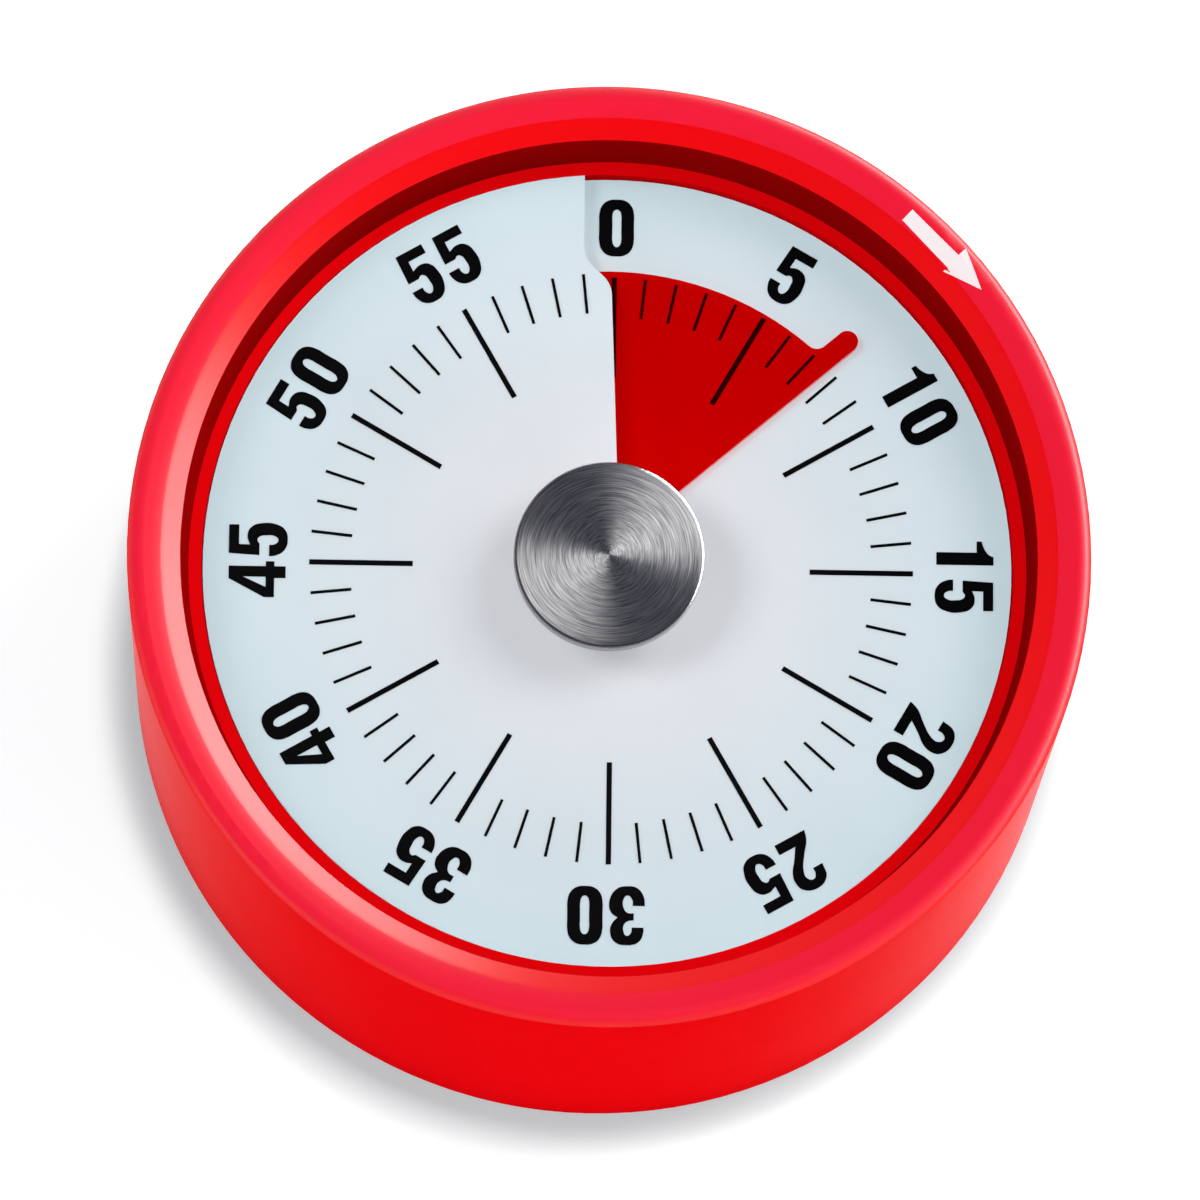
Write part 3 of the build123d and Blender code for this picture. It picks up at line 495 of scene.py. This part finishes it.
spun_outward = add(spun_tree, "CombineXYZ", {"Z": spun_count.outputs["Value"]})
spun_track = add(spun_tree, "VectorMath", {
    0: spun_around.outputs["Vector"], 1: spun_outward.outputs["Vector"]})
spun_rings = add(spun_tree, "TexNoise", {
    "Vector": spun_track.outputs["Vector"], "Scale": 1.0, "Detail": 3.0})
spun_shade = add(spun_tree, "MapRange", {
    "Value": spun_rings.outputs["Fac"], "From Min": faint_scratch, "From Max": deep_scratch})
spun_face = add(spun_tree, "MixRGB", {
    "Fac": spun_shade.outputs["Result"], "Color1": linear("8e8e96"), "Color2": linear("fbf9f7")})
spun_skirt = add(spun_tree, "MapRange", {
    "Value": spun_reach, "From Min": face_radius, "From Max": skirt_radius})
spun_colour = add(spun_tree, "MixRGB", {
    "Fac": spun_skirt.outputs["Result"], "Color1": spun_face.outputs["Color"], "Color2": linear("a8aaad")})
spun_gloss = add(spun_tree, "MapRange", {
    "Value": spun_skirt.outputs["Result"], "To Min": spun_shader.inputs["Roughness"].links[0].from_socket,
    "To Max": skirt_roughness})
spun_relief = add(spun_tree, "Bump", {"Height": spun_rings.outputs["Fac"], "Distance": scratch_depth})
spun_round = add(spun_tree, "Tangent", direction_type="RADIAL", axis="Z")
spun_tree.links.new(spun_colour.outputs["Color"], spun_shader.inputs["Base Color"])
spun_tree.links.new(spun_gloss.outputs["Result"], spun_shader.inputs["Roughness"])
spun_tree.links.new(spun_relief.outputs["Normal"], spun_shader.inputs["Normal"])
spun_tree.links.new(spun_round.outputs["Tangent"], spun_shader.inputs["Tangent"])
dress(spun_steel, "knob_cap")

# A white arrow is pad-printed on the sloped rim, and shows which way the knob turns to set the time.
# It is straight, and its outer barb is the longer, because the pad rides up towards the rim's edge.
lip_level = 41.93 * mm
land_level = 43.07 * mm
sharp_edge_level = 44.2 * mm
rim_rounding = 1.0 * mm
arrow_tail = Vector((24.72 * mm, 29.37 * mm, 0))
arrow_heading = 135.8
shaft_length = 5.5 * mm
tail_width = 1.15 * mm
neck_width = 1.3 * mm
head_length = 3.45 * mm
barb_outer = 1.5 * mm
barb_inner = 1.1 * mm
weld_reach = 0.001 * mm


def rim_level(radius):
    """Height of the rim at a radius: its steep slope inside, its land, and the round edge outside."""
    if radius < land_inner:
        return lip_level + (land_level - lip_level) * (radius - lip_radius) / (land_inner - lip_radius)
    slope = math.atan2(sharp_edge_level - land_level, case_radius - land_inner)
    from_centre = radius - (case_radius - rim_rounding)
    if from_centre < -rim_rounding * math.sin(slope):
        return land_level + math.tan(slope) * (radius - land_inner)
    return rim_top - rim_rounding + math.sqrt(rim_rounding ** 2 - from_centre ** 2)


arrow = bmesh.new()
shaft = bmesh.ops.create_grid(arrow, x_segments=4, y_segments=8, size=0.5)["verts"]
for vert in shaft:
    along = vert.co.y + 0.5
    vert.co.x *= tail_width + (neck_width - tail_width) * along
    vert.co.y = along * shaft_length
head = bmesh.ops.create_grid(arrow, x_segments=4, y_segments=8, size=0.5)["verts"]
for vert in head:
    along = vert.co.y + 0.5
    width = (barb_outer + barb_inner) * (1 - along)
    middle = (barb_inner - barb_outer) / 2 * (1 - along)
    vert.co.x = middle + vert.co.x * width
    vert.co.y = shaft_length + along * head_length
bmesh.ops.remove_doubles(arrow, verts=head, dist=weld_reach)
arrow_turn = Matrix.Rotation(-math.radians(arrow_heading), 4, "Z")
bmesh.ops.transform(arrow, matrix=Matrix.Translation(arrow_tail) @ arrow_turn, verts=arrow.verts[:])
for vert in arrow.verts:
    vert.co.z = rim_level(vert.co.to_2d().length) - ink_sunk

# White pad ink is opaque and matt, and lets a trace of the red show through where it is thin.
white_ink = mottled_finish(
    "white_pad_ink", ("fdf4f4", "f8e9ea"), patch=1.5, roughness=(0.45, 0.55), grain=0.2, depth=0.002)
raise_ink(arrow, "rim_arrow", "case", white_ink)

# The floor is a sheet of white paper, matt and very slightly cloudy, that the timer lies on.
# It glows a little where it is seen, and not on the timer, so that it shows white and keeps the shadow.
floor_drop = 0.05 * mm
floor_half = 4.0
paper_glow = 0.34
floor_mesh = bpy.data.meshes.new("studio_floor")
sheet = bmesh.new()
bmesh.ops.create_grid(sheet, x_segments=1, y_segments=1, size=floor_half)
bmesh.ops.translate(sheet, vec=(0, 0, -floor_drop), verts=sheet.verts[:])
sheet.to_mesh(floor_mesh)
sheet.free()
floor = bpy.data.objects.new("studio_floor", floor_mesh)
bpy.context.scene.collection.objects.link(floor)
paper = mottled_finish(
    "white_paper_sweep", ("f6f6f6", "f4f4f4"), patch=60, roughness=(0.9, 0.95), grain=2, depth=0.01)
paper_tree = paper.node_tree
paper_shader = paper_tree.nodes["Principled BSDF"]
paper_shader.inputs["Emission Color"].default_value = linear("ffffff")
paper_rays = add(paper_tree, "LightPath")
paper_seen = add(paper_tree, "Math", {
    0: paper_rays.outputs["Is Camera Ray"], 1: paper_rays.outputs["Is Glossy Ray"]}, operation="MAXIMUM")
paper_shown = add(paper_tree, "Math", {
    0: paper_seen.outputs["Value"], 1: paper_rays.outputs["Is Transmission Ray"]}, operation="MAXIMUM")
paper_light = add(paper_tree, "Math", {0: paper_shown.outputs["Value"], 1: paper_glow}, operation="MULTIPLY")
paper_tree.links.new(paper_light.outputs["Value"], paper_shader.inputs["Emission Strength"])
floor_mesh.materials.append(paper)

# The studio is a dome of cloth, bright near the horizon and dim and bluish overhead.
# The heights between which it dims are shares of its radius.
dim_start, dim_end = 0.08, 0.42
horizon_colour = (1.0, 1.0, 1.0, 1.0)
overhead_colour = (0.04, 0.045, 0.065, 1.0)
dome = bpy.data.worlds.new("studio_dome")
dome.use_nodes = True
dome_tree = dome.node_tree
dome_way = add(dome_tree, "TexCoord").outputs["Generated"]
dome_height = add(dome_tree, "SeparateXYZ", {"Vector": dome_way}).outputs["Z"]
dome_rise = add(dome_tree, "MapRange", {"Value": dome_height, "From Min": dim_start, "From Max": dim_end})
dome_colour = add(dome_tree, "MixRGB", {
    "Fac": dome_rise.outputs["Result"], "Color1": horizon_colour, "Color2": overhead_colour})
dome_tree.links.new(dome_colour.outputs["Color"], dome_tree.nodes["Background"].inputs["Color"])
bpy.context.scene.world = dome


# The lamps are soft boxes. A long strip, low at the upper right, gives the gleams alone.
# The others light the colours alone: from overhead, the left, the upper right and low from both sides.
def hang_lamp(name, azimuth, elevation, distance, size, power, lean=0):
    """A soft lamp, so wide and so high, that faces the timer. Its azimuth runs clockwise from 12 o'clock.

    Angles are in degrees. A lamp that leans has its end at the larger azimuth raised."""
    light = bpy.data.lights.new(name, "AREA")
    light.shape = "RECTANGLE"
    light.size, light.size_y = size
    light.energy = power
    turn = math.radians(azimuth)
    rise = math.radians(elevation)
    way = Vector((math.cos(rise) * math.sin(turn), math.cos(rise) * math.cos(turn), math.sin(rise)))
    lamp = bpy.data.objects.new(name, light)
    aim = Matrix.Rotation(math.pi - turn, 4, "Z") @ Matrix.Rotation(math.pi / 2 - rise, 4, "X")
    tilt = Matrix.Rotation(-math.radians(lean), 4, "Z")
    lamp.matrix_world = Matrix.Translation(way * distance) @ aim @ tilt
    bpy.context.scene.collection.objects.link(lamp)
    return lamp


gleam_strip = hang_lamp(
    "gleam_strip", azimuth=59, elevation=17, distance=1.0, size=(1.8, 0.27), power=45.0, lean=12)
gleam_strip.visible_diffuse = False
overhead_lamp = hang_lamp(
    "overhead_lamp", azimuth=28, elevation=88.2, distance=1.2, size=(0.09, 0.09), power=7.6)
left_lamp = hang_lamp("left_lamp", azimuth=285, elevation=52, distance=1.0, size=(0.4, 0.4), power=3.4)
key_lamp = hang_lamp("key_lamp", azimuth=58, elevation=46, distance=1.0, size=(0.5, 0.5), power=3.9)
low_right_lamp = hang_lamp(
    "low_right_lamp", azimuth=125, elevation=5, distance=1.0, size=(0.5, 0.5), power=5.2)
low_left_lamp = hang_lamp(
    "low_left_lamp", azimuth=240, elevation=5, distance=1.0, size=(0.5, 0.5), power=5.0)
for lamp in (overhead_lamp, left_lamp, key_lamp, low_right_lamp, low_left_lamp):
    lamp.visible_glossy = False

# The overhead lamp throws no shadow of the knob straight down on the dial.
knob_in_its_way = bpy.data.collections.new("knob_in_its_way")
for name in ("knob_cap", "knob_core"):
    knob_in_its_way.objects.link(nodes[name])
for member in knob_in_its_way.collection_objects:
    member.light_linking.link_state = "EXCLUDE"
overhead_lamp.light_linking.blocker_collection = knob_in_its_way

# The left lamp lights the dial alone, so that the step at the slit throws its thin shadow.
lit_from_left = bpy.data.collections.new("lit_from_left")
lit_from_left.objects.link(nodes["dial"])
left_lamp.light_linking.receiver_collection = lit_from_left

# The camera stands where the photograph was taken: almost overhead, towards 6 o'clock, with a long lens.
# The fit gives the turn and shift that carry a point of the timer into the camera, from the dial's low edge.
camera_turn = (-0.221151, 0.027689, -0.010577)
camera_shift = Vector((0.6179, 2.4745, -829.0287)) * mm
dial_level = 35.84 * mm
focal_pixels = 9856.94
picture_pixels = 1200
lens = bpy.data.cameras.new("photograph_lens")
lens.sensor_width = 36
lens.lens = focal_pixels * lens.sensor_width / picture_pixels
camera = bpy.data.objects.new("photograph_camera", lens)
turn = Matrix.Identity(3)
for angle, axis in zip(camera_turn, "XYZ"):
    turn = turn @ Matrix.Rotation(angle, 3, axis)
stand = turn.transposed() @ -camera_shift + Vector((0, 0, dial_level))
camera.matrix_world = Matrix.Translation(stand) @ turn.transposed().to_4x4()
bpy.context.scene.collection.objects.link(camera)
bpy.context.scene.camera = camera
bpy.context.scene.view_settings.view_transform = "Standard"
